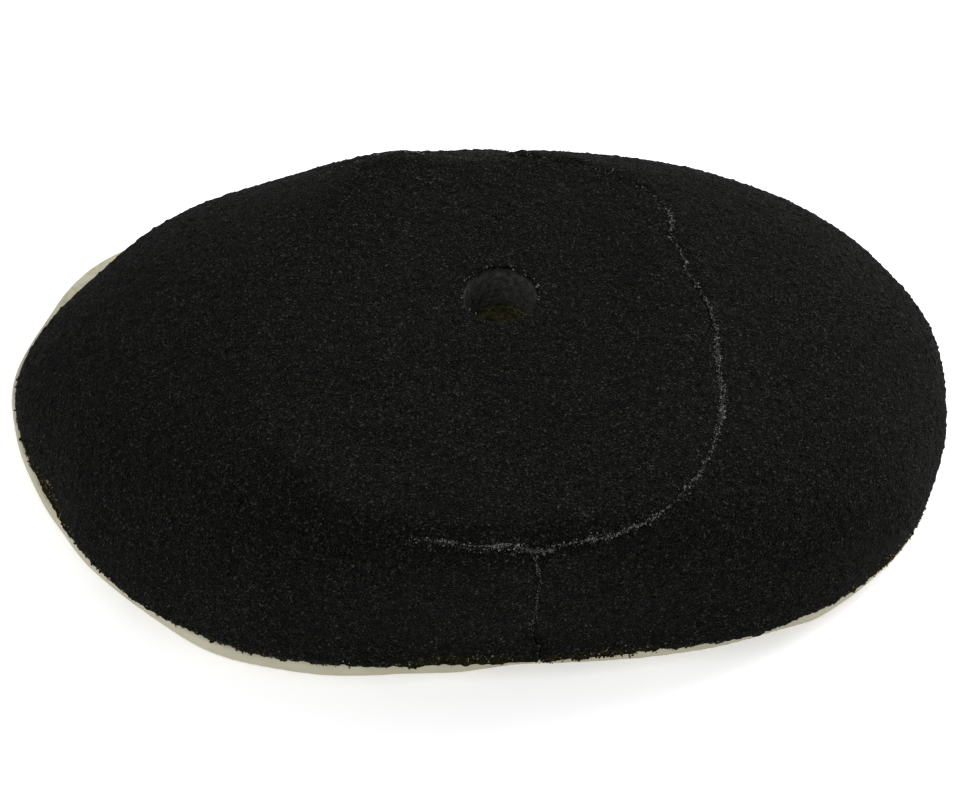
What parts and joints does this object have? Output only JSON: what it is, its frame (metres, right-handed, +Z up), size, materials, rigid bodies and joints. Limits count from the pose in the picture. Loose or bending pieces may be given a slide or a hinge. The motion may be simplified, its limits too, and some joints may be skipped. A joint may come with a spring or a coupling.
{
  "type": "air filter",
  "caption": "Low oval dome of two laminated foam layers on a flat sealing ring, with a bolt hole through its top.",
  "frame": {"origin": "middle of the sealing ring's underside, on the sealing face", "axes": "+X along the filter's length, towards its steeper rounded end; +Y across it, towards the sloping wall; +Z up, from the sealing face to the closed top"},
  "size_m": [0.2356, 0.1671, 0.047],
  "materials": {
    "fine_foam": "matte",
    "coarse_foam": "matte",
    "seam_glue": "satin",
    "foot_glue": "satin",
    "seal_ring": "matte"
  },
  "bodies": {
    "root": {"outer_main_panel": "fine_foam", "outer_side_band": "fine_foam", "inner_main_panel": "coarse_foam", "inner_side_band": "coarse_foam", "top_seam_glue": "seam_glue", "front_seam_glue": "seam_glue", "rear_seam_glue": "seam_glue", "foot_glue_line": "foot_glue", "seal_ring": "seal_ring"}
  },
  "joints": []
}
